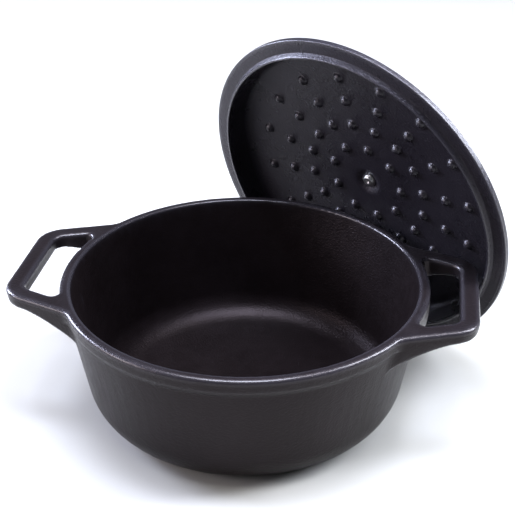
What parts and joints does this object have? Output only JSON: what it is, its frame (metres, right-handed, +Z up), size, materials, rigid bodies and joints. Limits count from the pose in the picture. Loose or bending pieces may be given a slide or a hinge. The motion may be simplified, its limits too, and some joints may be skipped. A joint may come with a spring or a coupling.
{
  "type": "dutch oven",
  "caption": "Round cast iron dutch oven: tapered pot with flat loop handles, and a domed lid with basting bumps and a knob, leaning against the pot.",
  "frame": {"origin": "centre of the pot's flat base, on the surface it stands on", "axes": "+Z up, +X along the two handles, +Y to the back, where the lid leans"},
  "size_m": [0.3451, 0.294, 0.2537],
  "materials": {
    "pot_iron": "seasoned black, fine sand-cast grain, semi-matte",
    "lid_iron": "seasoned black, fine sand-cast grain, semi-matte",
    "knob_steel": "brushed stainless",
    "fixing_steel": "plain stainless"
  },
  "bodies": {
    "pot": {"pot": "pot_iron"},
    "lid": {"lid": "lid_iron", "knob_shell": "knob_steel", "knob_plate": "knob_steel", "knob_insert": "fixing_steel", "knob_washer": "fixing_steel", "knob_screw": "fixing_steel"}
  },
  "joints": [
    {"name": "lid_lift", "type": "slide", "parent": "pot", "child": "lid", "axis": [0.3757, 0.5991, 0.7071], "range_m": [0, 0.28]}
  ]
}
